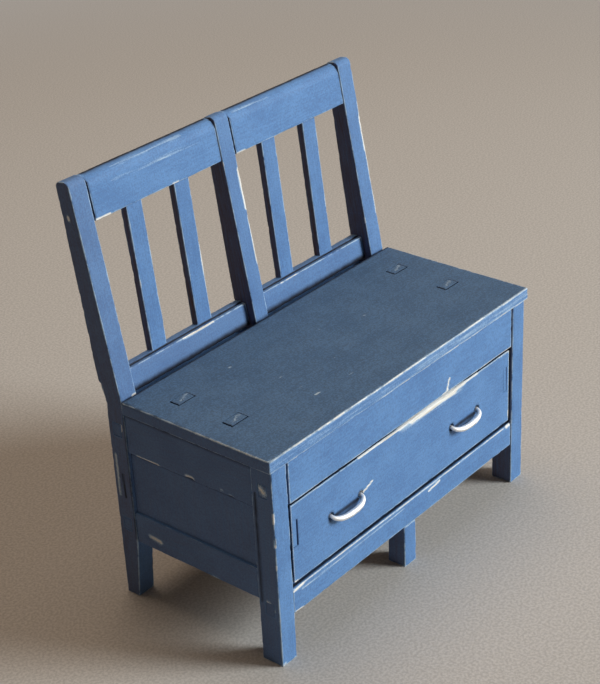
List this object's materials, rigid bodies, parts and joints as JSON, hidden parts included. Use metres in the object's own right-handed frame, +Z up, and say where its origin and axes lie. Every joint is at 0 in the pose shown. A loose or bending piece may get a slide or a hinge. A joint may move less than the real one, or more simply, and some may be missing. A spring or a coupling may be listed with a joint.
{
  "type": "doll's-house pull-out bench bed",
  "caption": "Painted miniature bench bed with a raked slatted back, a lift-off seat board and a wide pull-out box with wire handles.",
  "frame": {"origin": "on the floor under the middle of the whole bench's outline", "axes": "+X along the bench to its right end, +Y from the box front to the back, +Z up"},
  "size_m": [0.0732, 0.0435, 0.0773],
  "materials": {
    "blue_paint": "brushed matte blue paint on pine, rubbed through along the edges",
    "bare_wood": "unpainted planed pine",
    "handle_wire": "bright bent wire"
  },
  "bodies": {
    "frame": {"leg_front_left": "blue_paint", "leg_front_right": "blue_paint", "leg_rear_left": "blue_paint", "leg_rear_right": "blue_paint", "leg_middle": "blue_paint", "apron": "blue_paint", "rail_front_lower": "blue_paint", "rail_rear_upper": "blue_paint", "rail_rear_lower": "blue_paint", "rail_side_upper_left": "blue_paint", "rail_side_upper_right": "blue_paint", "rail_side_lower_left": "blue_paint", "rail_side_lower_right": "blue_paint", "panel_side_left": "blue_paint", "panel_side_right": "blue_paint", "panel_rear": "blue_paint", "post_middle": "blue_paint", "crest_left": "blue_paint", "crest_right": "blue_paint", "back_rail_left": "blue_paint", "back_rail_right": "blue_paint", "slat_1": "blue_paint", "slat_2": "blue_paint", "slat_3": "blue_paint", "slat_4": "blue_paint", "runner_left": "bare_wood", "runner_right": "bare_wood", "guide_left": "bare_wood", "guide_right": "bare_wood"},
    "seat": {"seat_board": "blue_paint", "batten_left": "bare_wood", "batten_right": "bare_wood"},
    "drawer": {"drawer_front": "blue_paint", "drawer_side_left": "bare_wood", "drawer_side_right": "bare_wood", "drawer_back": "bare_wood", "drawer_bottom": "bare_wood", "handle_left": "handle_wire", "handle_right": "handle_wire"}
  },
  "joints": [
    {"name": "drawer_slide", "type": "slide", "parent": "frame", "child": "drawer", "axis": [0, -1, 0], "range_m": [0, 0.024]},
    {"name": "seat_lift", "type": "slide", "parent": "frame", "child": "seat", "axis": [0, 0, 1], "range_m": [0, 0.03]}
  ]
}
